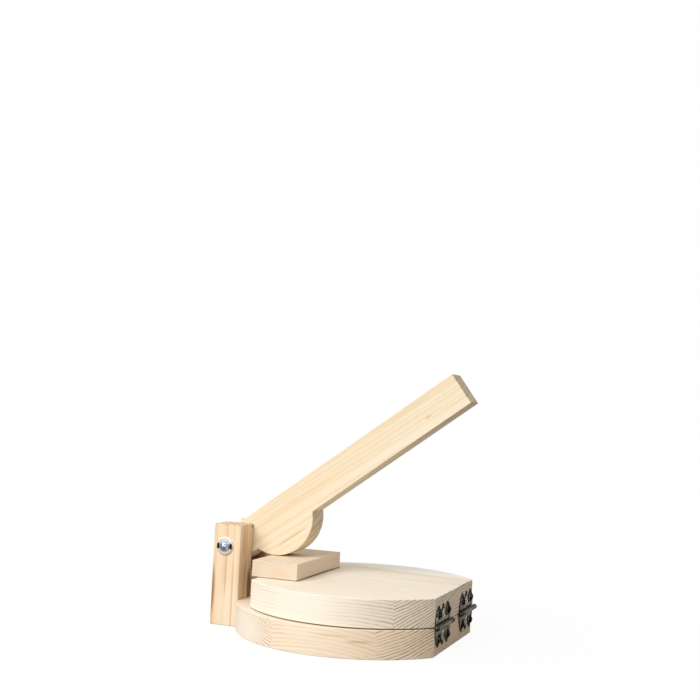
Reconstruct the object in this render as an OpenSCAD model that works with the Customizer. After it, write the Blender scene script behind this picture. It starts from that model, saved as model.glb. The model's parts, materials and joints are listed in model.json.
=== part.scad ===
// Wooden tortilla press with two round plates, a forked post and a cam lever.
// Origin: centre of the base plate's underside. +X runs to the hinges, +Z up.
// The front of the press faces -Y. Sizes are in millimetres.

/* [Plates] */
// Thickness of the boards that both plates are cut from
board_t = 18; // [14:0.5:24]
// Radius of the round base plate
base_r = 82; // [80:0.5:95]
// How much smaller the round top plate's radius is
top_inset = 3; // [0:0.5:6]
// How far the top plate's middle sits toward the hinges
top_shift = 4; // [2:0.5:8]
// How far the flat for the hinges is cut in from the base plate's rim
hinge_flat_in = 14; // [11:0.5:18]
// Air between the closed plates
plate_gap = 0.6; // [0.2:0.1:1]
// Width of the sanded bevel on every wooden edge
ease = 0.3; // [0.2:0.1:1]

/* [Post] */
// Width of the forked post, along Y
post_w = 59; // [52:1:66]
// Thickness of the forked post, along X
post_t = 20; // [18:0.5:24]
// Height of the forked post above the pivot
post_top = 14.7; // [12:0.1:20]
// Air between each cheek of the lever and the post's slot
slot_gap = 0.5; // [0.3:0.1:1]
// Air between the lever's round tail and the bottom of the slot
tail_gap = 6.5; // [5:0.5:9]
// Distance from the post's inner face back to the pivot
pivot_inset = 11.4; // [10:0.1:12]

/* [Lever] */
// Thickness of the lever, along Y
lever_t = 20; // [15:0.5:22]
// Width of the lever bar, seen from the front
lever_w = 23; // [20:0.5:25]
// Length of the lever from its pivot to its free end
lever_reach = 194.7; // [150:0.1:230]
// Tilt of the lever when its cam rests on the presser block
lever_tilt = 36.3; // [33:0.1:40]
// Distance along the lever from the pivot to the middle of the cam
cam_offset = 36; // [35:0.5:38]
// Radius of the cam lobe
cam_r = 27; // [25:0.5:30]

/* [Presser block] */
// Length of the presser block, along X
block_l = 33; // [28:0.2:40]
// Width of the presser block, along Y
block_w = 79; // [60:1:90]
// Height of the presser block
block_h = 11.2; // [10:0.1:16]
// How far the block reaches past the cam's resting line, toward the post
block_lead = 3.2; // [2:0.1:5]
// How far the block overhangs the top plate's flat end
block_over = 4.9; // [0:0.1:6]
// Air between the resting cam and the block
cam_gap = 0.3; // [0.2:0.05:0.6]

/* [Pivot bolt] */
// Diameter of the pivot bolt
bolt_d = 4; // [3:0.5:5]
// Diameter of the bolt's pan head
bolt_head_d = 7.5; // [7:0.5:10]
// Height of the bolt's pan head
bolt_head_h = 2.8; // [2.2:0.1:3.5]
// Height of the upright rim of the bolt's pan head
bolt_rim_h = 0.5; // [0.2:0.1:1]
// Diameter of the two washers
washer_d = 12; // [10:0.5:14]
// Thickness of each washer
washer_t = 1; // [0.6:0.1:1.6]
// Width across the flats of the nut
nut_af = 7; // [6:0.5:9]
// Height of the nut
nut_h = 3.2; // [2.4:0.1:5]
// How far the ball that rounds off the nut stands past its corners
nut_crown = 0.2; // [0.1:0.05:0.4]
// Length of thread that stands out of the nut
bolt_end = 2.5; // [1:0.5:5]
// Air around the bolt in the lever's bore
bolt_run = 0.06; // [0.02:0.01:0.1]
// Air around the bolt in the post's bores and in the washers
bolt_fit = 0.1; // [0.05:0.01:0.2]

/* [Hinges] */
// Width of each hinge along its pin
leaf_w = 33; // [30:0.5:36]
// Height of one hinge leaf from the pin to its tips
leaf_h = 13; // [12:0.5:14]
// Thickness of the hinge leaves
leaf_t = 0.9; // [0.6:0.1:1.2]
// Height of a leaf's straight strap beside the pin
strap_h = 4.7; // [4:0.1:5.5]
// Radius of the round shoulders at the ends of the strap
shoulder_r = 2.8; // [2:0.1:3.5]
// Width of leaf around each screw head
lobe_rim = 1.7; // [1.2:0.1:2.5]
// Width of each pointed tip where it leaves its lobe
tip_w = 7.2; // [5:0.1:8]
// Width of each tip at its neck, below the point
neck_w = 2.2; // [1.2:0.1:3]
// Distance from a leaf's tip back to its neck
neck_h = 1.6; // [1:0.1:2]
// How much closer to the pin the middle lobe sits than the screws
middle_drop = 1; // [0:0.1:2]
// Diameter of the round eye in a leaf's middle lobe
eye_d = 2.2; // [1:0.1:3]
// Distance from the end of the plates' flat to the hinge
hinge_edge = 0.5; // [0.2:0.1:6]
// Outer diameter of the hinge barrel
barrel_d = 3.4; // [3:0.1:4]
// Diameter of the hinge pin
pin_d = 1.8; // [1.4:0.1:2]
// Air around the pin in the knuckles
pin_run = 0.05; // [0.02:0.01:0.1]
// Air between knuckles, around a turning knuckle and beside the pin's balls
knuckle_gap = 0.25; // [0.15:0.05:0.4]
// Length of the middle knuckle
knuckle_l = 13; // [8:0.5:17]
// Diameter of the ball at each end of the hinge pin
ball_d = 3.4; // [2.4:0.1:4]
// Distance from the end of a leaf to its screw
screw_edge = 6; // [5:0.1:7]
// Distance from the pin to each hinge screw
screw_z = 7.8; // [7:0.1:8.5]
// Diameter of a hinge screw's shank
screw_d = 2; // [1.5:0.1:2.4]
// Length of a hinge screw in the wood
screw_l = 12; // [8:0.5:16]
// Diameter of a hinge screw's round head
screw_head_d = 4.8; // [3.6:0.1:5.2]
// Height of a hinge screw's round head
screw_head_h = 1.7; // [1:0.1:2]
// Height of the upright rim of a hinge screw's head
screw_rim_h = 0.2; // [0.1:0.05:0.4]
// Length of the cross recess in a hinge screw
screw_cross_l = 2.6; // [1.5:0.1:3]
// Width of each arm of the cross recess in a hinge screw
screw_cross_w = 0.5; // [0.3:0.1:0.8]
// Depth of the cross recess in a hinge screw
screw_cross_deep = 0.7; // [0.4:0.1:0.9]

/* [Hidden fixings] */
// Diameter of the screws that hold the post to the base plate
post_screw_d = 4; // [3:0.5:5]
// Length of the screws that hold the post to the base plate
post_screw_l = 50; // [40:1:60]
// Diameter of the post screws' countersunk heads
post_screw_head_d = 8; // [7:0.5:9]
// Distance from the middle plane to each post screw
post_screw_y = 18; // [12:0.5:21]
// Length of the cross recess in the bolt and the post screws
cross_l = 4.4; // [3:0.1:5]
// Width of each arm of the cross recess in the bolt and the post screws
cross_w = 1; // [0.6:0.1:1.4]
// Depth of the cross recess in the bolt and the post screws
cross_deep = 1.5; // [0.8:0.1:1.8]
// Diameter of the dowels under the presser block
dowel_d = 8; // [6:0.5:10]
// Depth of each dowel in the top plate
dowel_down = 11; // [8:0.5:12]
// Depth of each dowel in the presser block
dowel_up = 8; // [5:0.5:9]
// Distance from the middle plane to each dowel
dowel_y = 25; // [18:0.5:28]
// Air around a fixing in its hole
fix_fit = 0.05; // [0.03:0.01:0.1]
// Depth of a blind hole past the end of its fixing
hole_end = 0.5; // [0.2:0.1:1]

/* [Hidden] */
$fn = 96;

// The stack of plates and block sets the height of the pivot, because the resting cam lies on the block
top_z = board_t + plate_gap;
block_z = top_z + board_t;
pivot_z = block_z + block_h + cam_gap + cam_r - cam_offset * sin(lever_tilt);
post_h = pivot_z + post_top;
slot_w = lever_t + 2 * slot_gap;
slot_z = pivot_z - lever_w / 2 - tail_gap;

// The base plate's flat for the post is as wide as the post
post_face_x = -sqrt(base_r * base_r - post_w * post_w / 4);
pivot_x = post_face_x - pivot_inset;
block_x = pivot_x + cam_offset * cos(lever_tilt) - block_lead;
top_flat_x = block_x + block_over;
dowel_x = block_x + block_l / 2;

// The hinges sit at the ends of the shorter of the two flats
top_r = base_r - top_inset;
hinge_flat_x = base_r - hinge_flat_in;
base_flat_half = sqrt(base_r * base_r - hinge_flat_x * hinge_flat_x);
top_flat_half = sqrt(top_r * top_r - pow(hinge_flat_x - top_shift, 2));
hinge_y = min(base_flat_half, top_flat_half) - hinge_edge - leaf_w / 2;
screw_y = leaf_w / 2 - screw_edge;
lobe_r = screw_head_d / 2 + lobe_rim;

// The hinge axis lies at the height of the gap, clear of the wood behind it
axis_x = hinge_flat_x + max(barrel_d, ball_d) / 2 + knuckle_gap;
axis_z = board_t + plate_gap / 2;

// Diameter of the sharp end of a screw, and the overshoot of every cut
point_d = 0.3;
cut = 1;

pine = [0.93, 0.82, 0.63];
pine_dark = [0.88, 0.70, 0.47];
bronze = [0.25, 0.20, 0.14];
zinc = [0.72, 0.74, 0.78];

// Rectangle from x = 0 to l, centred on y, with bevelled corners; near is the bevel at x = 0
module bevel_rect(l, w, c, near) {
    polygon([[near, -w / 2], [l - c, -w / 2], [l, -w / 2 + c], [l, w / 2 - c],
        [l - c, w / 2], [near, w / 2], [0, w / 2 - near], [0, -w / 2 + near]]);
}

// Block from x = 0 to l, centred on y and z, with all its edges bevelled
module bevel_block(l, w, h, c, near) {
    intersection() {
        rotate([90, 0, 90]) linear_extrude(l)
            translate([-w / 2, 0]) bevel_rect(w, h, c, c);
        translate([0, 0, -h / 2]) linear_extrude(h) bevel_rect(l, w, c, near);
        translate([0, w / 2, 0]) rotate([90, 0, 0]) linear_extrude(w) bevel_rect(l, h, c, near);
    }
}

// Upright disc from z = 0 to h with bevelled rims
module bevel_disc(r, h, c) {
    rotate_extrude()
        polygon([[0, 0], [r - c, 0], [r, c], [r, h - c], [r - c, h], [0, h]]);
}

// Cylinder along Y, centred on y
module bar_y(d, l) {
    rotate([90, 0, 0]) cylinder(d = d, h = l, center = true);
}

// Cylinder along X from x = 0 to l
module bar_x(d, l) {
    rotate([0, 90, 0]) cylinder(d = d, h = l);
}

// Cross recess of a screw head, cut down from z = 0
module cross_recess(l, w, deep) {
    for (a = [45, 135])
        rotate([0, 0, a]) translate([-l / 2, -w / 2, -deep]) cube([l, w, deep + cut]);
}

// Screw head from z = 0 up, with an upright rim under a domed top
module dome_head(d, h, rim) {
    rise = h - rim;
    dome_r = (d * d / 4 + rise * rise) / (2 * rise);
    intersection() {
        cylinder(d = d, h = h);
        translate([0, 0, h - dome_r]) sphere(r = dome_r);
    }
}

// Round plate with a flat at each end, lying on z = 0
module plate(r, shift, low_x, low_ease) {
    intersection() {
        translate([shift, 0, 0]) bevel_disc(r, board_t, ease);
        translate([low_x, 0, board_t / 2])
            bevel_block(hinge_flat_x - low_x, 2 * r + 4 * cut, board_t, ease, low_ease);
    }
}

// Pilot holes in the hinge flat of one plate; side is 1 for the top plate and -1 for the base
module hinge_holes(side) {
    for (y = [-hinge_y, hinge_y], dy = [-screw_y, screw_y])
        translate([hinge_flat_x - screw_l - hole_end, y + dy, axis_z + side * screw_z])
            bar_x(screw_d + 2 * fix_fit, screw_l + hole_end + cut);
}

// Dowel holes from z down and up by the given depths
module dowel_holes(down, up) {
    for (y = [-dowel_y, dowel_y])
        translate([dowel_x, y, block_z - down]) cylinder(d = dowel_d + 2 * fix_fit, h = down + up);
}

module base_plate() {
    color(pine) difference() {
        plate(base_r, 0, post_face_x, 0);
        hinge_holes(-1);
        for (y = [-post_screw_y, post_screw_y])
            translate([post_face_x - cut, y, board_t / 2])
                bar_x(post_screw_d + 2 * fix_fit, cut + post_screw_l - post_t + hole_end);
    }
}

module fork_post() {
    color(pine_dark) difference() {
        translate([post_face_x - post_t, 0, post_h / 2])
            bevel_block(post_t, post_w, post_h, ease, ease);
        translate([post_face_x - post_t - cut, -slot_w / 2, slot_z])
            cube([post_t + 2 * cut, slot_w, post_h]);
        translate([pivot_x, 0, pivot_z]) bar_y(bolt_d + 2 * bolt_fit, post_w + 2 * cut);
        for (y = [-post_screw_y, post_screw_y])
            translate([post_face_x - post_t, y, board_t / 2]) {
                post_screw_body(fix_fit);
                translate([-cut, 0, 0]) bar_x(post_screw_head_d + 2 * fix_fit, cut);
            }
    }
}

// Countersunk screw from x = 0 inward, grown by fit on its sides
module post_screw_body(fit) {
    r = post_screw_d / 2 + fit;
    head_r = post_screw_head_d / 2 + fit;
    rotate([0, 90, 0]) rotate_extrude()
        polygon([[0, 0], [head_r, 0], [r, head_r - r], [r, post_screw_l - post_screw_d],
            [point_d / 2, post_screw_l], [0, post_screw_l]]);
}

module post_screws() {
    color(zinc) for (y = [-post_screw_y, post_screw_y])
        translate([post_face_x - post_t, y, board_t / 2]) difference() {
            post_screw_body(0);
            rotate([0, -90, 0]) cross_recess(cross_l, cross_w, cross_deep);
        }
}

module pivot_bolt() {
    shank = post_w + 2 * washer_t + nut_h + bolt_end;
    color(zinc) translate([pivot_x, -post_w / 2 - washer_t, pivot_z]) rotate([90, 0, 0]) difference() {
        union() {
            dome_head(bolt_head_d, bolt_head_h, bolt_rim_h);
            translate([0, 0, -shank]) cylinder(d = bolt_d, h = shank + bolt_rim_h);
        }
        translate([0, 0, bolt_head_h]) cross_recess(cross_l, cross_w, cross_deep);
    }
}

module washer(y) {
    color(zinc) translate([pivot_x, y, pivot_z]) difference() {
        bar_y(washer_d, washer_t);
        bar_y(bolt_d + 2 * bolt_fit, washer_t + cut);
    }
}

module head_washer() {
    washer(-post_w / 2 - washer_t / 2);
}

module nut_washer() {
    washer(post_w / 2 + washer_t / 2);
}

module pivot_nut() {
    corner_r = nut_af / 2 / cos(30);
    color(zinc) translate([pivot_x, post_w / 2 + washer_t + nut_h / 2, pivot_z]) difference() {
        intersection() {
            rotate([90, 0, 0]) cylinder(r = corner_r, h = nut_h, center = true, $fn = 6);
            sphere(r = corner_r + nut_crown);
        }
        bar_y(bolt_d + 2 * fix_fit, nut_h + cut);
    }
}

// Outline of one hinge leaf, with the pin along the first axis and the tips along the second
module leaf_outline() {
    translate([-leaf_w / 2, plate_gap / 2]) square([leaf_w, strap_h - plate_gap / 2]);
    for (end = [-1, 1]) {
        translate([end * screw_y, screw_z]) circle(r = lobe_r);
        translate([end * (leaf_w / 2 - shoulder_r), strap_h]) circle(r = shoulder_r);
    }
    translate([0, screw_z - middle_drop]) circle(r = lobe_r - middle_drop);
    for (u = [-screw_y, 0, screw_y])
        polygon([[u - tip_w / 2, screw_z], [u - neck_w / 2, leaf_h - neck_h], [u, leaf_h],
            [u + neck_w / 2, leaf_h - neck_h], [u + tip_w / 2, screw_z]]);
}

// One leaf at hinge position y; side is 1 for the upper leaf and -1 for the lower one.
// The upper leaf has the middle knuckle and the lower leaf has the two outer ones.
module leaf(y, side) {
    outer_l = (leaf_w - knuckle_l) / 2 - knuckle_gap;
    outer_y = (leaf_w - outer_l) / 2;
    middle = [[0, knuckle_l]];
    outer = [[-outer_y, outer_l], [outer_y, outer_l]];
    color(bronze) translate([0, y, axis_z]) difference() {
        union() {
            translate([hinge_flat_x, 0, 0]) rotate([90, 0, 90]) linear_extrude(leaf_t)
                scale([1, side]) leaf_outline();
            for (k = side > 0 ? middle : outer) translate([axis_x, k[0], 0]) bar_y(barrel_d, k[1]);
        }
        for (k = side > 0 ? outer : middle) translate([axis_x, k[0], 0])
            bar_y(barrel_d + 2 * knuckle_gap, k[1] + 2 * knuckle_gap);
        translate([axis_x, 0, 0]) bar_y(pin_d + 2 * pin_run, leaf_w + cut);
        for (u = [-screw_y, screw_y])
            translate([hinge_flat_x - cut, u, side * screw_z]) bar_x(screw_d + 2 * fix_fit, leaf_t + 2 * cut);
        translate([hinge_flat_x - cut, 0, side * (screw_z - middle_drop)]) bar_x(eye_d, leaf_t + 2 * cut);
    }
}

// Hinge pin with a ball at each end
module hinge_pin(y) {
    color(bronze) translate([axis_x, y, axis_z]) {
        bar_y(pin_d, leaf_w + ball_d);
        for (end = [-1, 1])
            translate([0, end * (leaf_w / 2 + knuckle_gap + ball_d / 2), 0]) sphere(d = ball_d);
    }
}

// The two round-head screws of one leaf
module leaf_screws(y, side) {
    grip = leaf_t + screw_l - screw_d;
    color(bronze) for (u = [-screw_y, screw_y])
        translate([hinge_flat_x + leaf_t, y + u, axis_z + side * screw_z]) rotate([0, 90, 0]) difference() {
            union() {
                dome_head(screw_head_d, screw_head_h, screw_rim_h);
                translate([0, 0, -grip]) cylinder(d = screw_d, h = grip + screw_rim_h);
                translate([0, 0, -leaf_t - screw_l]) cylinder(d1 = point_d, d2 = screw_d, h = screw_d);
            }
            translate([0, 0, screw_head_h]) cross_recess(screw_cross_l, screw_cross_w, screw_cross_deep);
        }
}

module near_base_leaf() {
    leaf(-hinge_y, -1);
}

module near_hinge_pin() {
    hinge_pin(-hinge_y);
}

module near_base_screws() {
    leaf_screws(-hinge_y, -1);
}

module far_base_leaf() {
    leaf(hinge_y, -1);
}

module far_hinge_pin() {
    hinge_pin(hinge_y);
}

module far_base_screws() {
    leaf_screws(hinge_y, -1);
}

module top_plate() {
    color(pine) difference() {
        translate([0, 0, top_z]) plate(top_r, top_shift, top_flat_x, ease);
        hinge_holes(1);
        dowel_holes(dowel_down + hole_end, cut);
    }
}

module presser_block() {
    color(pine_dark) difference() {
        translate([block_x, 0, block_z + block_h / 2])
            bevel_block(block_l, block_w, block_h, ease, ease);
        dowel_holes(cut, dowel_up + hole_end);
    }
}

module block_dowels() {
    color(pine) for (y = [-dowel_y, dowel_y])
        translate([dowel_x, y, block_z - dowel_down]) bevel_disc(dowel_d / 2, dowel_down + dowel_up, ease);
}

module near_top_leaf() {
    leaf(-hinge_y, 1);
}

module near_top_screws() {
    leaf_screws(-hinge_y, 1);
}

module far_top_leaf() {
    leaf(hinge_y, 1);
}

module far_top_screws() {
    leaf_screws(hinge_y, 1);
}

// Lever bar with a round tail about the pivot and a round cam lobe on its lower side
module lever() {
    color(pine) translate([pivot_x, 0, pivot_z]) rotate([0, -lever_tilt, 0]) difference() {
        union() {
            bevel_block(lever_reach, lever_t, lever_w, ease, 0);
            translate([0, lever_t / 2, 0]) rotate([90, 0, 0]) bevel_disc(lever_w / 2, lever_t, ease);
            intersection() {
                translate([cam_offset, lever_t / 2, 0]) rotate([90, 0, 0]) bevel_disc(cam_r, lever_t, ease);
                translate([cam_offset - 2 * cam_r, -lever_t, -2 * cam_r])
                    cube([4 * cam_r, 2 * lever_t, 2 * cam_r]);
            }
        }
        bar_y(bolt_d + 2 * bolt_run, lever_t + cut);
    }
}

base_plate();
fork_post();
post_screws();
pivot_bolt();
head_washer();
nut_washer();
pivot_nut();
near_base_leaf();
near_hinge_pin();
near_base_screws();
far_base_leaf();
far_hinge_pin();
far_base_screws();
top_plate();
presser_block();
block_dowels();
near_top_leaf();
near_top_screws();
far_top_leaf();
far_top_screws();
lever();
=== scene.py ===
import json
import math
from collections import namedtuple

import bmesh
import bpy
import numpy as np
from mathutils import Euler, Matrix, Vector


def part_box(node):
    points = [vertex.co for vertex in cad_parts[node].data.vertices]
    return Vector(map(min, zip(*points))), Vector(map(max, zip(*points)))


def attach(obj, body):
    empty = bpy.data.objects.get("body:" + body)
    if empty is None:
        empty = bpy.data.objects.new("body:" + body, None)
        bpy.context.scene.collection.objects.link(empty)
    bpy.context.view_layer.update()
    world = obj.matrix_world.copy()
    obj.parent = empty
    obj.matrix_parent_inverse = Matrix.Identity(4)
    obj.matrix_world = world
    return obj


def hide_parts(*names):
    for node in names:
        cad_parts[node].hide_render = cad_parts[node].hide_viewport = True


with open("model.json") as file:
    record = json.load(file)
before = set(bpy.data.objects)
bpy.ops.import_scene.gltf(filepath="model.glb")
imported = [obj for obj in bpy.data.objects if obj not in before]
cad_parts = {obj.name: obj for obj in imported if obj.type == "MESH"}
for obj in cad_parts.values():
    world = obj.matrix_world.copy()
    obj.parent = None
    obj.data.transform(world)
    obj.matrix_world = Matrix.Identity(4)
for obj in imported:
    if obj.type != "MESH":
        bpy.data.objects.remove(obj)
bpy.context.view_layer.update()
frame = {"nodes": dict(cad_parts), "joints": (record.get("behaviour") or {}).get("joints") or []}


# The base plate is a round pine board, 18 mm thick, edge-glued from three strips whose growth
# rings tilt in turn. It is band-sawn to a disc with a flat for the post and one for the hinges,
# then sanded and left bare.

MM = 0.001


class Wire:
    """A shader socket. Sums on it add Math nodes, and node() adds any other node to the tree."""

    def __init__(self, tree, out):
        self.tree, self.out = tree, out

    def node(self, kind, settings=None, values=None, out=0):
        """Adds a node: its settings first, then values or links by input name or number."""
        made = self.tree.nodes.new(kind)
        for key, value in (settings or {}).items():
            setattr(made, key, value)
        for key, value in (values or {}).items():
            socket = made.inputs[key]
            if isinstance(value, Wire):
                self.tree.links.new(value.out, socket)
            elif isinstance(value, tuple) and len(value) == 3 and socket.type == "RGBA":
                socket.default_value = (*value, 1)
            else:
                socket.default_value = value
        return Wire(self.tree, made.outputs[out])

    def maths(self, operation, *values):
        return self.node("ShaderNodeMath", {"operation": operation}, dict(enumerate(values)))

    def __add__(self, other):
        return self.maths("ADD", self, other)

    __radd__ = __add__

    def __sub__(self, other):
        return self.maths("SUBTRACT", self, other)

    def __rsub__(self, other):
        return self.maths("SUBTRACT", other, self)

    def __mul__(self, other):
        return self.maths("MULTIPLY", self, other)

    __rmul__ = __mul__

    def __truediv__(self, other):
        return self.maths("DIVIDE", self, other)

    def __rtruediv__(self, other):
        return self.maths("DIVIDE", other, self)

    def __pow__(self, other):
        return self.maths("POWER", self, other)

    def __gt__(self, other):
        return self.maths("GREATER_THAN", self, other)

    def __lt__(self, other):
        return self.maths("LESS_THAN", self, other)

    def __abs__(self):
        return self.maths("ABSOLUTE", self)

    def steps(self, low, high):
        """0 below low, 1 above high and a smooth ramp between, falling where low is over high."""
        if low > high:
            return 1 - self.steps(high, low)
        ends = {"Value": self, "From Min": low, "From Max": high}
        return self.node("ShaderNodeMapRange", {"interpolation_type": "SMOOTHSTEP"}, ends)

    def part(self, index):
        """The X, Y or Z part of a vector."""
        return self.node("ShaderNodeSeparateXYZ", None, {0: self}, index)

    def vector(self, operation, other=(0, 0, 0), out="Vector"):
        """Vector Math on this vector and another one."""
        return self.node("ShaderNodeVectorMath", {"operation": operation}, {0: self, 1: other}, out)

    def stretch(self, x, y, z):
        """The vector with each part multiplied."""
        return self.vector("MULTIPLY", (x, y, z))

    def spot(self, middle, reach):
        """1 in the middle of an oval spot; it fades to 0 at its reach along each axis."""
        off = self.vector("SUBTRACT", middle).stretch(*(1 / r for r in reach))
        return off.vector("LENGTH", out="Value").steps(1.0, 0.35)

    def noise(self, scale, detail=2.0, rough=0.5):
        """Noise from 0 to 1 at a vector."""
        values = {"Vector": self, "Scale": scale, "Detail": detail, "Roughness": rough}
        return self.node("ShaderNodeTexNoise", {"noise_dimensions": "3D"}, values)

    def wander(self, scale, detail=2.0):
        """Noise from 0 to 1 along a number."""
        values = {"W": self * scale, "Scale": 1.0, "Detail": detail}
        return self.node("ShaderNodeTexNoise", {"noise_dimensions": "1D"}, values)

    def bump(self, strength, depth):
        """Bump with this value as its height, its depth in millimetres."""
        values = {"Strength": strength, "Distance": depth * MM, "Height": self}
        return self.node("ShaderNodeBump", None, values)

    def colour(self, first, second):
        """Colour that runs from first to second as this value runs from 0 to 1."""
        settings = {"data_type": "RGBA", "clamp_factor": True}
        return self.node("ShaderNodeMix", settings, {0: self, 6: first, 7: second}, 2)


def finish_of(name):
    """A new material with its Principled BSDF, and its Object coordinates in millimetres."""
    material = bpy.data.materials.new(name)
    material.use_nodes = True
    tree = material.node_tree
    shader = tree.nodes["Principled BSDF"]
    start = Wire(tree, None).node("ShaderNodeTexCoord", None, None, "Object")
    place = start.stretch(1 / MM, 1 / MM, 1 / MM)
    return material, shader, place


def feed(shader, **wires):
    """Links each wire to the shader's socket of that name."""
    for name, wire in wires.items():
        wire.tree.links.new(wire.out, shader.inputs[name.replace("_", " ")])


# A glued strip of wood: its ring centre across and up the grain and the spacing of its rings, in
# millimetres, its extra share of honey colour, and the share of darkness of its lines
Strip = namedtuple("Strip", "across up spacing honey lines", defaults=(1,))

# A mark on wood: its middle and its reach along, across and up the grain, in millimetres, its
# strength and its colour
Mark = namedtuple("Mark", "middle reach strength colour")

END_GREY = (0.52, 0.48, 0.41)


def pine(name, strips, seams=(), turn=(0, 0, 0), pale=(0.93, 0.84, 0.70), honey=(0.89, 0.75, 0.56),
         late=(0.40, 0.21, 0.09), line=(0.48, 0.86), long_contrast=0.15, end_contrast=1.1,
         end_shade=0.12, streak=0.5, uneven=1.8, fall=0.012, marks=()):
    """Bare pine with its grain along the turned X axis.

    The seams are the glue lines between the strips, as places across the grain. The ring number
    at a point is its distance from the strip's ring centre over the ring spacing; uneven is how
    far it wanders, and fall is its slope along the grain. Within a ring the wood darkens over the
    two shares of `line` and then ends in a sharp edge. The lines show by long_contrast on long
    grain and by end_contrast on end grain, which end_shade greys, and streak is the share of
    cloudy honey colour. No mark shows on a face that looks straight down."""
    material, shader, place = finish_of(name)
    turned_place = {"Vector": place, "Rotation": turn}
    grain = place.node("ShaderNodeMapping", {"vector_type": "TEXTURE"}, turned_place)
    along, across, up = grain.part(0), grain.part(1), grain.part(2)
    beyond = [across > seam for seam in seams]

    def by_strip(field):
        """A field of the strip that a point lies in: each seam passed moves on to the next."""
        values = [getattr(strip, field) for strip in strips]
        value = values[0]
        for mask, here, before in zip(beyond, values[1:], values):
            value = mask * (here - before) + value
        return value

    # The rings wander slowly by a few millimetres, and their spacing drifts from ring to ring
    wave = (grain.stretch(0.006, 0.03, 0.03).noise(1.0, 3.0) - 0.5) * 7.0
    dy = across - by_strip("across")
    dz = up - by_strip("up")
    far = (dy * dy + dz * dz) ** 0.5 + wave + along * fall
    ring = (far + far.wander(0.09, 1.0) * uneven) / by_strip("spacing")
    inner = ring.maths("FRACT", ring)
    number = ring.maths("FLOOR", ring)
    odd = number.node("ShaderNodeTexWhiteNoise", {"noise_dimensions": "1D"}, {"W": number}, "Value")
    dark = inner.steps(*line) * inner.steps(1.0, 0.5 + line[1] / 2) * (odd * 0.45 + 0.55)

    normal = place.node("ShaderNodeTexCoord", None, None, "Normal")
    grain_axis = tuple(Euler(turn).to_matrix() @ Vector((1, 0, 0)))
    end = abs(normal.vector("DOT_PRODUCT", grain_axis, "Value")).steps(0.1, 0.75)
    shown = normal.part(2).steps(-0.98, -0.85)

    # Fibres and flecks run along the grain, clouds are broad, and specks are open fibre ends
    fibre = grain.stretch(0.02, 1.6, 1.6).noise(1.0, 4.0, 0.65)
    fleck = grain.stretch(0.09, 2.6, 2.6).noise(1.0, 1.0).steps(0.66, 0.74)
    cloud = grain.stretch(0.008, 0.05, 0.05).noise(1.0, 2.0).steps(0.3, 0.7)
    speck = grain.stretch(1.8, 3.2, 3.2).noise(1.0, 2.0).steps(0.45, 0.75)
    broken = grain.stretch(0.03, 0.5, 0.5).noise(1.0, 2.0).steps(0.30, 0.62)

    wood = (cloud * streak + by_strip("honey")).colour(pale, honey)
    contrast = end * (end_contrast - long_contrast) + long_contrast
    strength = dark * contrast * (broken * 0.6 + 0.4 + end * 0.3) * by_strip("lines")
    wood = strength.colour(wood, late)
    wood = (fleck * (1 - end) * 0.22 + fibre.steps(0.55, 0.8) * 0.10).colour(wood, late)
    for mark in marks:
        cover = grain.spot(mark.middle, mark.reach) * shown * (fibre * 0.4 + 0.8) * mark.strength
        wood = cover.colour(wood, mark.colour)
    wood = (end * (speck * 0.4 + 0.8) * end_shade).colour(wood, END_GREY)

    relief = (dark * 0.5 + fibre * 0.6 - end * speck * 0.5).bump(0.25, 0.12)
    feed(shader, Base_Color=wood, Roughness=0.62 + fibre * 0.16 - dark * 0.08, Normal=relief)
    shader.inputs["Specular IOR Level"].default_value = 0.32
    return material


def dress(material, *nodes):
    """Gives CAD nodes a material in place of the one that they came with."""
    for name in nodes:
        node = frame["nodes"][name]
        if not node.material_slots:
            node.data.materials.append(material)
        for slot in node.material_slots:
            slot.material = material


BASE_TURN = (0, 0, math.radians(3.65))
RUSTY = (0.62, 0.36, 0.20)
base_strips = [Strip(-141, -96, 2.3, 0.35, 0.65), Strip(24, -124, 1.7, 0.15), Strip(40, -90, 2.5, 0.3)]
base_marks = [
    # Two rusty smears on the near rim, and the paler wood at its left
    Mark((7.9, -81.2, 13.5), (16, 4, 1.0), 0.4, RUSTY),
    Mark((25, -78.3, 10.5), (16, 4, 1.1), 0.6, RUSTY),
    Mark((-62, -52, 7), (40, 34, 18), 0.95, (0.93, 0.85, 0.74)),
]
base_pine = pine("base_pine", base_strips, seams=(-74.7, 40), turn=BASE_TURN,
                 pale=(0.92, 0.82, 0.69), honey=(0.88, 0.72, 0.54), long_contrast=0.38, fall=0.04,
                 marks=base_marks)
dress(base_pine, "base_plate")


# The forked post is a block of warmer pine with its grain upright. The slot for the lever is sawn
# down from the top, and two countersunk screws hold the block to the base plate's flat.

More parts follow.
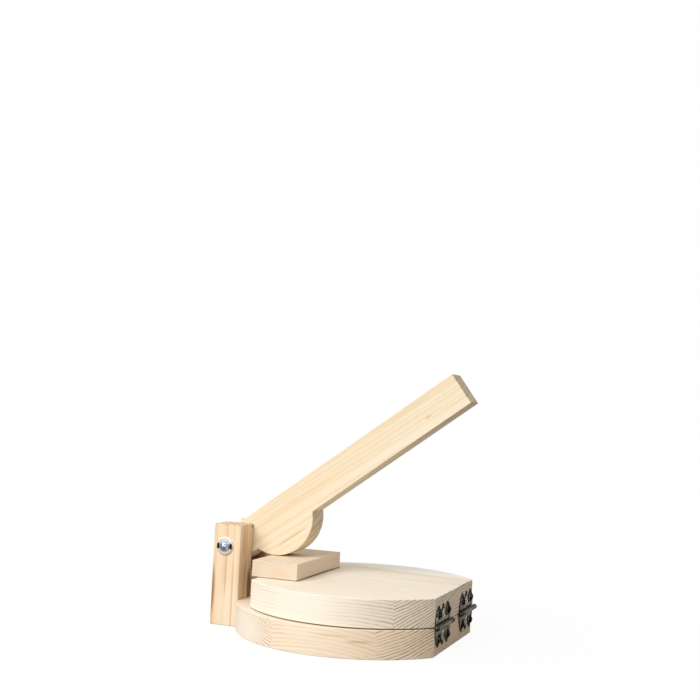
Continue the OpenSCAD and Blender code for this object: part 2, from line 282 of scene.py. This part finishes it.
UPRIGHT = (0, math.radians(90), 0)
TAN = (0.54, 0.31, 0.14)
SHADE = (0.09, 0.045, 0.02)
post_marks = [
    # On the face towards the plates: a broad brown band of painted shade, two tan streaks,
    # and a dark painted shadow low down by the slot
    Mark((-30, -20, -74), (75, 14, 4), 0.40, (0.66, 0.42, 0.22)),
    Mark((-57, -22.5, -76.5), (15, 3.5, 3), 0.4, TAN),
    Mark((-30, -20.5, -76.5), (17, 3, 3), 0.5, TAN),
    Mark((-26, -12.5, -76.5), (17, 5, 3), 0.85, (0.17, 0.075, 0.03)),
    # On the near face: a pale foot, a dark left edge and two thin streaks
    Mark((-10, -29, -84), (26, 8, 12), 0.5, (0.93, 0.82, 0.67)),
    Mark((-24, -29.5, -96.5), (24, 3, 3), 0.9, (0.30, 0.17, 0.08)),
    Mark((-33, -29.5, -86.6), (17, 4, 0.8), 0.6, (0.52, 0.40, 0.28)),
    Mark((-20, -29.5, -81), (40, 4, 0.9), 0.6, RUSTY),
    # A small dark spot by the mouth of the slot, and the shade on the slot's far wall
    Mark((-66.8, -10.5, -76.5), (2, 2, 3), 0.9, SHADE),
    Mark((-44, 12, -86), (15, 4, 17), 0.9, SHADE),
]
post_pine = pine("post_pine", [Strip(-72, -128, 3.9, 0.3)], turn=UPRIGHT, pale=(0.89, 0.74, 0.56),
                 honey=(0.85, 0.64, 0.42), late=(0.46, 0.24, 0.11), line=(0.3, 0.9),
                 long_contrast=0.36, streak=0.9, uneven=8.0, marks=post_marks)
dress(post_pine, "fork_post")


# The pivot is an M4 pan head screw, zinc plated, with a cross recess and a rolled thread. It runs
# through both cheeks of the post and the lever between them. A wide washer lies under its head and
# another under the nut. Two wood screws of the same finish hold the post.

def grid_mesh(name, points, wrap_rows=False, wrap_columns=True):
    """Mesh of quads over an m by n by 3 grid; a wrapped direction joins its last line to its first."""
    rows, columns = points.shape[:2]
    row = np.arange(rows if wrap_rows else rows - 1)
    column = np.arange(columns if wrap_columns else columns - 1)
    a, b = np.meshgrid(row, column, indexing="ij")
    after_a, after_b = (a + 1) % rows, (b + 1) % columns
    quads = np.stack([a * columns + b, a * columns + after_b, after_a * columns + after_b,
                      after_a * columns + b], -1).reshape(-1, 4)
    mesh = bpy.data.meshes.new(name)
    mesh.from_pydata(points.reshape(-1, 3), [], quads)
    shape = bmesh.new()
    shape.from_mesh(mesh)
    bmesh.ops.remove_doubles(shape, verts=shape.verts, dist=1e-7)
    bmesh.ops.dissolve_degenerate(shape, edges=shape.edges, dist=1e-7)
    bmesh.ops.recalc_face_normals(shape, faces=shape.faces)
    shape.to_mesh(mesh)
    shape.free()
    mesh.shade_smooth()
    piece = bpy.data.objects.new(name, mesh)
    bpy.context.scene.collection.objects.link(piece)
    return piece


def stand_for(piece, material, slot, body, *nodes):
    """Gives a new piece its material and body, and puts it in place of CAD nodes. Its slot is not used.
    """
    piece.data.materials.clear()
    piece.data.materials.append(material)
    piece.data.set_sharp_from_angle(angle=math.radians(32))
    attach(piece, body)
    if nodes:
        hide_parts(*nodes)


def turned(stations, seat, out, around=72, swell=None):
    """Grid of a turned part: point (i, k) is seat + t out + r (cos a side + sin a up).

    The stations are (t, r) pairs along the axis `out`. swell(t, r, a) may change t and r."""
    out = np.array(out, float)
    side = np.array([0.0, 0.0, 1.0])
    up = np.cross(out, side)
    t, r = np.array(stations, float).T[:, :, None]
    a = np.linspace(0, 2 * np.pi, around, endpoint=False)[None, :]
    t, r = t + 0 * a, r + 0 * a
    if swell:
        t, r = swell(t, r, a)
    spread = np.cos(a)[..., None] * side + np.sin(a)[..., None] * up
    return (np.array(seat) + t[..., None] * out + r[..., None] * spread) * MM


def screw(seat, out, cross, shank_d, shank_l, head_d, pitch, thread_l, tip_l, head_h=0.0, rim_h=0.0,
          full=2):
    """Grid of a screw along out, in millimetres, with its head's underside at seat.

    A head with no height is countersunk. Over the rim, a dome falls with the share s of the
    head's radius as (1 - s ** full) ** 0.8. The thread cuts the shank by a saw of the turn number
    t / pitch - a / 2 pi, and the cross recess sinks the top where a point lies within either of
    its arms. `cross` is the arms' length and width, and the recess's depth."""
    chamfer, thread_deep, crest_flat, soft_edge = 0.12, 0.31 * pitch, 1.3, 0.22
    shank_r, head_r = shank_d / 2, head_d / 2
    thread_start = -shank_l + tip_l
    thread_end = thread_start + thread_l
    tip = [(-shank_l, 0.0), (-shank_l, 0.12 * shank_r), (-shank_l + 0.5 * tip_l, 0.55 * shank_r)]
    threaded = np.arange(thread_start, thread_end, pitch / 8)
    shank = [(t, shank_r) for t in [*threaded, *np.linspace(thread_end, 0, 4)]]
    if head_h > 0:
        under = [(0.0, head_r - chamfer), (chamfer, head_r)]
    else:
        under = [(shank_r - head_r, shank_r), (0.0, head_r)]
    rise = head_h - rim_h
    top = [(rim_h + rise * (1 - s ** full) ** 0.8, s * head_r) for s in np.linspace(1, 0, 26)]
    arm_l, arm_w, deep = cross

    def arm(u, v):
        """1 within one arm of the cross, u across it and v along it, with a soft edge."""
        soft = soft_edge * arm_w
        inside = np.clip((arm_w / 2 - np.abs(u)) / soft + 0.5, 0, 1)
        return inside * np.clip((arm_l / 2 - np.abs(v)) / (3 * soft) + 0.5, 0, 1)

    def swell(t, r, a):
        depth = thread_deep * np.clip((thread_end - t) / pitch, 0, 1) * (t > thread_start)
        saw = np.abs(2 * ((t / pitch - a / (2 * np.pi)) % 1) - 1)
        cut = depth * np.clip(saw * crest_flat, 0, 1) * (t < thread_end)
        x, y = r * np.cos(a + np.pi / 4), r * np.sin(a + np.pi / 4)
        on_top = np.arange(t.shape[0])[:, None] >= t.shape[0] - len(top)
        return t - deep * np.maximum(arm(x, y), arm(y, x)) * on_top, r - cut

    return turned([*tip, *shank, *under, *top], seat, out, swell=swell)


def washer_ring(centre, out, inner_d, outer_d, thick):
    """Closed washer: a rounded box swept round the axis. The box is a circle's cosine and sine,
    each to the power `square`, so that it bulges into the corners."""
    square = 0.3
    angle = np.linspace(0, 2 * np.pi, 40, endpoint=False)
    middle, half = (inner_d + outer_d) / 4, (outer_d - inner_d) / 4
    box = [np.sign(f) * np.abs(f) ** square for f in (np.cos(angle), np.sin(angle))]
    section = np.stack([box[1] * thick / 2, middle + half * box[0]], 1)
    return turned(section, centre, out, around=96)


def zinc(name, axis_at, bright, dull, flare=None):
    """Zinc plate with faint turning marks round the axis and cloudy handling marks.

    With flare (inner, outer radius), two dark wedges of painted reflection lie left and right of
    the axis, where a lathe turned face would mirror dark surroundings: a wedge is where |x| is near
    the radius."""
    material, shader, place = finish_of(name)
    about = place.vector("SUBTRACT", tuple(axis_at)).stretch(1, 0, 1)
    radius = about.vector("LENGTH", out="Value")
    marks = radius.wander(9)
    cloud = place.noise(0.55, 3.0)
    smudge = (cloud * 0.7 + place.noise(1.6, 2.0) * 0.3).steps(0.40, 0.62)
    tone = smudge.colour(bright, dull)
    if flare:
        inner, outer = flare
        # Dark wedges of painted reflection on the turned face
        reflection_wedge = (abs(about.part(0)) / radius).steps(0.88, 0.96)
        reflection_wedge = reflection_wedge * radius.steps(inner, inner + 0.3) * radius.steps(outer, outer - 0.5)
        tone = reflection_wedge.colour(tone, (0.02, 0.02, 0.025))
    relief = (marks + cloud * 0.5).bump(0.3, 0.03)
    feed(shader, Base_Color=tone, Roughness=0.24 + smudge * 0.16 + marks * 0.08, Normal=relief)
    shader.inputs["Metallic"].default_value = 1.0
    return material


def ends_of(node):
    """Lowest and highest corners of a CAD node's box, in millimetres."""
    return [np.array(corner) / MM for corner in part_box(node)]


def middle_of(node):
    """Middle and size of a CAD node's box, in millimetres."""
    low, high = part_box(node)
    low, high = np.array(low), np.array(high)
    return (low + high) / 2 / MM, (high - low) / MM


def joint_at(name):
    """Place of a joint, in millimetres."""
    return next(np.array(joint["pos_m"]) / MM for joint in frame["joints"] if joint["name"] == name)


WASHER_BORE, NUT_BORE = 4.3, 4.1
DRIVER = (4.4, 1.0, 1.5)
pivot = joint_at("lever_pivot")
blue_zinc = zinc("zinc_plate", pivot, (0.62, 0.68, 0.78), (0.24, 0.29, 0.38))
bolt_low, bolt_high = ends_of("pivot_bolt")
bolt_head_d = bolt_high[0] - bolt_low[0]
post_low = ends_of("fork_post")[0]
washer_size = middle_of("head_washer")[1]
head_seat = post_low[1] - washer_size[1]
bolt_shape = screw((pivot[0], head_seat, pivot[2]), (0, -1, 0), DRIVER, shank_d=4.0,
                   shank_l=bolt_high[1] - head_seat, head_d=bolt_head_d, pitch=0.7, thread_l=11.2,
                   tip_l=0.4, head_h=head_seat - bolt_low[1], rim_h=0.6)
bolt = grid_mesh("pivot_screw", bolt_shape)
stand_for(bolt, blue_zinc, "zinc", "base", "pivot_bolt")

turned_zinc = zinc("turned_zinc", pivot, (0.93, 0.92, 0.88), (0.70, 0.70, 0.68),
                   flare=(bolt_head_d / 2, washer_size[0] / 2))
for node in ("head_washer", "nut_washer"):
    middle, size = middle_of(node)
    shape = washer_ring(middle, (0, 1, 0), WASHER_BORE, size[0], size[1])
    washer = grid_mesh(node + "_pressed", shape, wrap_rows=True)
    stand_for(washer, turned_zinc, "zinc", "base", node)


def hexagon_nut(centre, out, flats, thick, bore_d):
    """Nut: each point of its section is pushed out to the hexagon, cut by a 30 degree cone."""
    half = thick / 2
    face_r = 0.96 * flats / 2
    wall = [(t, 1) for t in np.linspace(-half, half, 13)]
    share = [(-half, 0), (-half, 1), *wall, (half, 1), (half, 0)]

    def swell(t, r, a):
        hexagon = flats / 2 / np.cos((a + np.pi / 6) % (np.pi / 3) - np.pi / 6)
        cone = face_r + (half - np.abs(t)) / math.tan(math.radians(30))
        return t, bore_d / 2 + r * (np.minimum(hexagon, cone) - bore_d / 2)

    return turned(share, centre, out, around=144, swell=swell)


middle, size = middle_of("pivot_nut")
nut = grid_mesh("pivot_nut_cut", hexagon_nut(middle, (0, 1, 0), size[2], size[1], NUT_BORE),
                wrap_rows=True)
stand_for(nut, blue_zinc, "zinc", "base", "pivot_nut")

middle, size = middle_of("post_screws")
for side, edge, nodes in (("near", -1, ["post_screws"]), ("far", 1, [])):
    seat = (post_low[0], edge * (size[1] - size[2]) / 2, middle[2])
    screw_shape = screw(seat, (-1, 0, 0), DRIVER, shank_d=4.0, shank_l=size[0], head_d=size[2],
                        pitch=1.8, thread_l=30.0, tip_l=4.0)
    post_screw = grid_mesh(side + "_post_screw", screw_shape)
    stand_for(post_screw, blue_zinc, "zinc", "base", *nodes)


# Each hinge is a pair of cast leaves in antique bronze with three pointed lobes, on a turned pin
# with a ball at each end. Round-head screws of the same finish hold it to the plates' flat edges.
# The casting is dark in its hollows and rubbed lighter in patches. Painted shade darkens it just
# above the pin and round the screws, and a painted glint lies round each eye.

# In millimetres: the thickness of a leaf's plate, then how far a hinge lies from the press's
# middle, and how far a screw lies from the leaf's middle and from the pin
LEAF_T = 0.9
hinge_axis = joint_at("lid_hinge")
leaf_low, leaf_high = ends_of("near_base_leaf")
hinge_y = -(leaf_low[1] + leaf_high[1]) / 2
face_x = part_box("base_plate")[1][0] / MM + LEAF_T
screw_middle, screw_size = middle_of("near_base_screws")
screw_y = (screw_size[1] - screw_size[2]) / 2
screw_z = hinge_axis[2] - screw_middle[2]
eye_z = screw_z - 1


def antique_bronze(name, worn, deep, wear=0.75, shaded=True):
    """Dark cast bronze, worn lighter in patches; deep is the colour of its hollows.

    With `shaded`, the tips far from the pin and the barrel stay dark, painted shade darkens a band
    just above the pin and the metal round the screws, and a painted glint lies on the ring round
    each eye. Bright specks on the rubbed metal are scuffs and painted highlights."""
    material, shader, place = finish_of(name)
    grit = place.noise(1.9, 5.0, 0.62)
    patch = place.noise(0.34, 3.0)
    rubbed = ((grit - 0.5) * 2.4 + (patch - 0.5) * 2.2 + wear).steps(0.1, 1.0)
    if shaded:
        height = place.part(2) - float(hinge_axis[2])
        off_pin = abs(height)
        off_middle = abs(place.part(1)) - float(hinge_y)
        off_screw = abs(off_middle) - float(screw_y)
        round_screw = (off_screw * off_screw + (off_pin - float(screw_z)) ** 2) ** 0.5
        round_eye = (off_middle * off_middle + (off_pin - float(eye_z)) ** 2) ** 0.5
        tips = off_pin.steps(9.0, 11.0)
        # Painted shade: a dark band just above the pin, over the barrel's top and the strap's edge
        shade_band = height.steps(0.7, 1.0) * height.steps(2.8, 2.3)
        face = place.part(0).steps(face_x - 0.3, face_x - 0.1)
        proud = place.part(0).steps(face_x + 0.4, face_x + 0.8)
        barrel = (1 - proud * 0.3) * (1 - proud * off_middle.steps(-9.0, -12.0) * 0.8)
        # Painted shade: the band above the pin, and a dark ring round each screw head
        rubbed = rubbed * (1 - tips * 0.9) * (1 - shade_band * 0.95) * round_screw.steps(3.0, 3.9)
        rubbed = rubbed * face * barrel
    tone = rubbed.colour(deep, worn)
    reddish = place.noise(0.23, 1.0).steps(0.50, 0.62) * rubbed * 0.6
    tone = reddish.colour(tone, (0.17, 0.11, 0.105))
    # Bright specks on the rubbed metal: scuffs, and painted highlights that stand for its sparkle
    scuffs_and_glints = place.noise(1.1, 2.0).steps(0.60, 0.70) * rubbed * 0.8
    tone = scuffs_and_glints.colour(tone, (0.88, 0.88, 0.80))
    if shaded:
        # A painted glint: bright specks on a ring round each eye
        glint = round_eye.steps(1.2, 1.6) * round_eye.steps(3.4, 2.8)
        glint = glint * place.noise(0.8, 1.0).steps(0.44, 0.54)
        tone = (glint * face * 0.9).colour(tone, (0.92, 0.92, 0.86))
    feed(shader, Base_Color=tone, Roughness=0.52 - rubbed * 0.20 + grit * 0.12,
         Normal=grit.bump(0.5, 0.08))
    shader.inputs["Metallic"].default_value = 0.85
    return material


def cast_copy(node, name, edge):
    """Copy of a CAD node with its doubles merged, its flats joined up and its edges rounded."""
    mesh = frame["nodes"][node].data.copy()
    shape = bmesh.new()
    shape.from_mesh(mesh)
    bmesh.ops.remove_doubles(shape, verts=shape.verts, dist=1e-7)
    bmesh.ops.dissolve_limit(shape, angle_limit=math.radians(1), verts=shape.verts, edges=shape.edges)
    shape.to_mesh(mesh)
    shape.free()
    piece = bpy.data.objects.new(name, mesh)
    bpy.context.scene.collection.objects.link(piece)
    rounded = piece.modifiers.new("rounded", "BEVEL")
    rounded.width, rounded.segments = edge * MM, 2
    rounded.limit_method, rounded.angle_limit = "ANGLE", math.radians(35)
    return piece


def bead(path, radius, closed):
    """Bead along a path that lies on the leaf's face: a circle carried along it, half sunk in.

    An open bead tapers at its ends: its radius is cut to three times the sine of pi times the
    share of its length."""
    path = np.array(path, float)
    if closed:
        run = np.roll(path, -1, 0) - np.roll(path, 1, 0)
    else:
        run = np.gradient(path, axis=0)
    run /= np.linalg.norm(run, axis=1, keepdims=True)
    out = np.array([1.0, 0.0, 0.0])
    side = np.cross(run, out)
    a = np.linspace(0, 2 * np.pi, 12, endpoint=False)
    reach = np.full(len(path), radius)
    if not closed:
        reach *= np.clip(np.sin(np.linspace(0, np.pi, len(path))) * 3, 0.02, 1)
    circle = np.cos(a)[None, :, None] * side[:, None] + np.sin(a)[None, :, None] * out
    return (path[:, None] + reach[:, None, None] * circle) * MM


# In millimetres: the radii of the cast rings and how far out the lobes' tips lie, the strap's bead
# and its wave, the curls' place, first radius and fall of it per radian, and the beads' radii
SCREW_RING, EYE_RING, TIP_AT = 3.3, 2.0, 12.3
STRAP_HALF, STRAP_AT, WAVE_DEEP, WAVE_L = 15.3, 2.9, 0.35, 10.2
CURL_OUT, CURL_UP, CURL_R, CURL_SHRINK = 13.6, 4.9, 1.7, 0.24
RING_BEAD, VEIN_BEAD, STRAP_BEAD, CURL_BEAD = 0.32, 0.30, 0.28, 0.26


def leaf_relief(y, side):
    """The cast beads of one leaf as closed grids, on paths u along the pin and v away from it.

    A ring runs round each screw and the eye, with a vein from it to the lobe's tip. A bead
    follows the strap as a cosine wave. A spiral curls at each of its ends, its radius falling
    evenly with the turn."""
    turn = np.linspace(0, 2 * np.pi, 40, endpoint=False)

    def at(u, v):
        return np.stack([0 * u + face_x, hinge_axis[1] + y + u, hinge_axis[2] + side * v], -1)

    beads = []
    for u, v, r in ((-screw_y, screw_z, SCREW_RING), (0, eye_z, EYE_RING),
                    (screw_y, screw_z, SCREW_RING)):
        vein = v + r + np.linspace(0.3, TIP_AT - v - r, 40)
        beads.append(bead(at(u + r * np.cos(turn), v + r * np.sin(turn)), RING_BEAD, True))
        beads.append(bead(at(u + 0 * vein, vein), VEIN_BEAD, False))
    strap = np.linspace(-STRAP_HALF, STRAP_HALF, 60)
    wave = WAVE_DEEP * np.cos(strap * 2 * np.pi / WAVE_L)
    beads.append(bead(at(strap, STRAP_AT + wave), STRAP_BEAD, False))
    swirl = np.linspace(0, 1.6 * np.pi, 40)
    curl = CURL_R - CURL_SHRINK * swirl
    for end in (-1, 1):
        spiral = at(end * (CURL_OUT - curl * np.cos(swirl)), CURL_UP - curl * np.sin(swirl))
        beads.append(bead(spiral, CURL_BEAD, False))
    return beads


def join(name, grids, wraps):
    """One object from several closed grids."""
    pieces = [grid_mesh(name, g, wrap_rows=w) for g, w in zip(grids, wraps)]
    shape = bmesh.new()
    for piece in pieces:
        shape.from_mesh(piece.data)
        bpy.data.objects.remove(piece)
    mesh = bpy.data.meshes.new(name)
    shape.to_mesh(mesh)
    shape.free()
    mesh.shade_smooth()
    made = bpy.data.objects.new(name, mesh)
    bpy.context.scene.collection.objects.link(made)
    return made


HINGE_DRIVER = (2.6, 0.5, 0.6)
CAST_EDGE, PIN_R, COLLAR = 0.16, 0.9, 0.25
BEAD_WRAPS = [True, False] * 3 + [False] * 3
bronze = antique_bronze("antique_bronze", (0.38, 0.39, 0.31), (0.026, 0.022, 0.017))
black_bronze = antique_bronze("black_bronze", (0.022, 0.019, 0.015), (0.006, 0.005, 0.004), 0.3, False)
grey_bronze = antique_bronze("grey_bronze", (0.09, 0.09, 0.085), (0.020, 0.018, 0.016), 0.4, False)
screw_head_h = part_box("near_base_screws")[1][0] / MM - face_x
for hinge, y in (("near", -hinge_y), ("far", hinge_y)):
    for level, side, body in (("base", -1, "base"), ("top", 1, "lid")):
        leaf = cast_copy(f"{hinge}_{level}_leaf", f"{hinge}_{level}_casting", CAST_EDGE)
        stand_for(leaf, bronze, "bronze", body, f"{hinge}_{level}_leaf")
        relief = join(f"{hinge}_{level}_relief", leaf_relief(y, side), BEAD_WRAPS)
        stand_for(relief, bronze, "bronze", body)
        seats = [(face_x, y + u, hinge_axis[2] + side * screw_z) for u in (-screw_y, screw_y)]
        pair = [screw(seat, (1, 0, 0), HINGE_DRIVER, shank_d=2.0, shank_l=12.0 + LEAF_T,
                      head_d=screw_size[2], pitch=0.9, thread_l=7.2, tip_l=2.0, head_h=screw_head_h,
                      rim_h=0.25, full=4) for seat in seats]
        screws = join(f"{hinge}_{level}_round_heads", pair, [False, False])
        stand_for(screws, black_bronze, "bronze", body, f"{hinge}_{level}_screws")

    pin_low, pin_high = ends_of(f"{hinge}_hinge_pin")
    half = (pin_high[1] - pin_low[1]) / 2
    ball_r = (pin_high[0] - pin_low[0]) / 2
    knob = np.linspace(0.06, 0.83, 16) * np.pi
    ball = [(half - ball_r + ball_r * math.cos(k), ball_r * math.sin(k)) for k in knob]
    neck = [(half - 2 * ball_r + COLLAR, PIN_R), (half - 2 * ball_r - 1.0, PIN_R)]
    half_pin = [(half, 0.0), *ball, *neck]
    whole_pin = half_pin + [(-t, r) for t, r in reversed(half_pin)]
    pin = grid_mesh(f"{hinge}_turned_pin",
                    turned(whole_pin, (hinge_axis[0], y, hinge_axis[2]), (0, 1, 0), around=40))
    stand_for(pin, grey_bronze, "bronze", "base", f"{hinge}_hinge_pin")


# The top plate is edge-glued like the base, from four strips, and swings on the two hinges. Its
# strips run a few degrees off square. The one at the back has more honey and lies in the lever's
# shadow, which a pale painted light there lifts.

TOP_TURN = (0, 0, math.radians(-8))
top_strips = [Strip(-89, -96, 2.1, 0.0, 0.6), Strip(3, -47, 1.6, 0.05), Strip(47, -223, 2.3, 0.1),
              Strip(20, -60, 2.3, 0.3)]
top_marks = [
    # The paler left of the near rim, and the shade along the lower edge
    Mark((-46, -62, 27), (30, 26, 16), 0.8, (0.92, 0.85, 0.75)),
    Mark((0, 0, 18.4), (400, 400, 0.8), 0.95, SHADE),
    # A pale veil of painted light on the back strip, lifting the lever's shadow, and the brown line
    # of its seam
    Mark((10, 68, 37), (90, 24, 6), 0.9, (0.96, 0.94, 0.90)),
    Mark((20, 47.4, 37), (60, 3, 6), 0.4, (0.66, 0.55, 0.38)),
]
top_pine = pine("top_pine", top_strips, seams=(-59, -34, 47.4), turn=TOP_TURN,
                pale=(0.92, 0.86, 0.77), honey=(0.88, 0.78, 0.64), marks=top_marks)
dress(top_pine, "top_plate")


# The presser block is glued and dowelled on the top plate's free end, and the cam bears on it.
# Its grain runs across the press, so that both its short ends show end grain.

ACROSS = (0, 0, math.radians(90))
block_marks = [
    # A grey veil and a ruddy smudge on the near end
    Mark((-39.5, 45, 42), (5, 40, 14), 0.40, (0.64, 0.53, 0.42)),
    Mark((-39.5, 42, 40), (8, 16, 3.5), 0.35, (0.70, 0.48, 0.32)),
    # The shade at the foot of the side towards the hinges, and all round the lower edge
    Mark((0, 29, 36.6), (60, 3, 1.5), 0.9, SHADE),
    Mark((0, 0, 36.3), (400, 400, 1.2), 0.95, SHADE),
]
block_pine = pine("block_pine", [Strip(60, -20, 1.9, 0.3)], turn=ACROSS, pale=(0.845, 0.735, 0.60),
                  honey=(0.78, 0.63, 0.475), end_contrast=0.25, end_shade=0.05, marks=block_marks)
dress(block_pine, "presser_block")
dowel_beech = pine("dowel_beech", [Strip(300, 0, 1.2, 0.6)], turn=UPRIGHT, pale=(0.66, 0.46, 0.28),
                   honey=(0.60, 0.40, 0.22))
dress(dowel_beech, "block_dowels")


# The lever is sawn from one straight-grained pine board, with the cam lobe left on its underside.
# Its grain runs along the bar, about a degree off its edges.

LEVER_TURN = (0, -math.radians(35), 0)
lever_marks = [
    # A small knot towards the free end, and a rusty streak in the lobe
    Mark((124, -10, 95.1), (3.5, 3, 1.2), 0.55, RUSTY),
    Mark((-3.8, -10, 77.4), (20, 4, 1.1), 0.6, RUSTY),
    # The shade under the tail, painted shade on the near face at the slot's mouth, and a tan band
    # along the middle
    Mark((-26, 2, 78), (10, 11.5, 10), 0.9, SHADE),
    Mark((-35.5, -10, 81.5), (6, 3, 3), 0.75, (0.34, 0.19, 0.09)),
    Mark((30, -10, 97), (60, 4, 2.2), 0.35, (0.80, 0.56, 0.30)),
]
lever_pine = pine("lever_pine", [Strip(30, -40, 4.4, 0.15)], turn=LEVER_TURN, pale=(0.855, 0.765, 0.62),
                  honey=(0.82, 0.67, 0.455), late=(0.62, 0.40, 0.21), line=(0.05, 0.65),
                  long_contrast=0.34, end_shade=0.5, uneven=10.0, marks=lever_marks)
dress(lever_pine, "lever")


# The press stands on a plain pale floor in front of white. One soft lamp lights it from the front
# and the upper left, and a warm plain light all round fills its shadows.

def white_world(light):
    """White at strength 1 to the camera, metal and glass, and a plain soft light elsewhere."""
    world = bpy.data.worlds.new("studio")
    bpy.context.scene.world = world
    world.use_nodes = True
    tree = world.node_tree
    rays = [Wire(tree, None).node("ShaderNodeLightPath", None, None, ray)
            for ray in ("Is Camera Ray", "Is Glossy Ray", "Is Transmission Ray")]
    seen = rays[0].maths("MAXIMUM", rays[0], rays[1])
    seen = seen.maths("MAXIMUM", seen, rays[2])
    tree.links.new(seen.colour(light, (1.0, 1.0, 1.0)).out, tree.nodes["Background"].inputs["Color"])


FILL_LIGHT = (0.555, 0.522, 0.46)
white_world(FILL_LIGHT)

FLOOR_HALF, FLOOR_Z = 4.0, -0.0002
floor_mesh = bpy.data.meshes.new("floor")
corners = [(x * FLOOR_HALF, y * FLOOR_HALF, FLOOR_Z) for x, y in ((-1, -1), (1, -1), (1, 1), (-1, 1))]
floor_mesh.from_pydata(corners, [], [(0, 1, 2, 3)])
floor = bpy.data.objects.new("floor", floor_mesh)
bpy.context.scene.collection.objects.link(floor)

# The camera sees the floor as white as the backdrop, save for a faint shadow near the press, which
# fades out between two distances in millimetres
WHITENESS, SHADOW_FULL, SHADOW_END = 0.94, 100, 300
FLOOR_GREY, FLOOR_WHITE = (0.35, 0.33, 0.30), (0.9, 0.9, 0.9)
floor_material, floor_shader, place = finish_of("pale_floor")
floor_tree = floor_material.node_tree
floor_shader.inputs["Roughness"].default_value = 0.9
camera_ray = place.node("ShaderNodeLightPath", None, None, "Is Camera Ray")
away = place.vector("LENGTH", out="Value").steps(SHADOW_FULL, SHADOW_END)
feed(floor_shader, Base_Color=camera_ray.colour(FLOOR_GREY, FLOOR_WHITE))
glow = place.node("ShaderNodeEmission", None, {"Color": (1.0, 1.0, 1.0), "Strength": 1.0})
whiter = camera_ray * (away * (1 - WHITENESS) + WHITENESS)
mixed = place.node("ShaderNodeMixShader", None, {0: whiter, 2: glow})
floor_tree.links.new(floor_shader.outputs[0], mixed.out.node.inputs[1])
floor_tree.links.new(mixed.out, floor_tree.nodes["Material Output"].inputs["Surface"])
floor_mesh.materials.append(floor_material)


def lamp(name, place, aim, size, power):
    """A square soft lamp at place, facing aim, both in metres."""
    light = bpy.data.lights.new(name, "AREA")
    light.size, light.energy = size, power
    made = bpy.data.objects.new(name, light)
    made.location = place
    made.rotation_euler = (Vector(aim) - Vector(place)).to_track_quat("-Z", "Y").to_euler()
    bpy.context.scene.collection.objects.link(made)


KEY_AROUND, KEY_UP, KEY_FAR = math.radians(-22), math.radians(36), 1.3
KEY_AIM, KEY_SIZE, KEY_POWER = (0, 0, 0.06), 0.8, 13.9
key_at = (KEY_FAR * math.sin(KEY_AROUND) * math.cos(KEY_UP),
          -KEY_FAR * math.cos(KEY_AROUND) * math.cos(KEY_UP),
          KEY_FAR * math.sin(KEY_UP))
lamp("key", key_at, KEY_AIM, KEY_SIZE, KEY_POWER)
bpy.context.scene.view_settings.view_transform = "Standard"


# The camera stands in front and a little to the right, a handspan above the table, and looks
# slightly up and past the press, which fills the lower half of the frame.

CAMERA_AT = Vector((0.26015, -0.73176, 0.15451))
TURN, LOOK_UP, ROLL = math.radians(20.571), math.radians(2.791), math.radians(2.792)
FOCAL_MM, SENSOR_MM = 57.96, 36
ahead = Vector((-math.sin(TURN) * math.cos(LOOK_UP), math.cos(TURN) * math.cos(LOOK_UP),
                math.sin(LOOK_UP)))
level_right = Vector((math.cos(TURN), math.sin(TURN), 0))
level_up = level_right.cross(ahead)
right = level_right * math.cos(ROLL) + level_up * math.sin(ROLL)
upward = level_up * math.cos(ROLL) - level_right * math.sin(ROLL)
lens = bpy.data.cameras.new("camera")
lens.lens, lens.sensor_width = FOCAL_MM, SENSOR_MM
camera = bpy.data.objects.new("camera", lens)
facing = Matrix((right, upward, -ahead)).transposed().to_4x4()
camera.matrix_world = Matrix.Translation(CAMERA_AT) @ facing
bpy.context.scene.collection.objects.link(camera)
bpy.context.scene.camera = camera
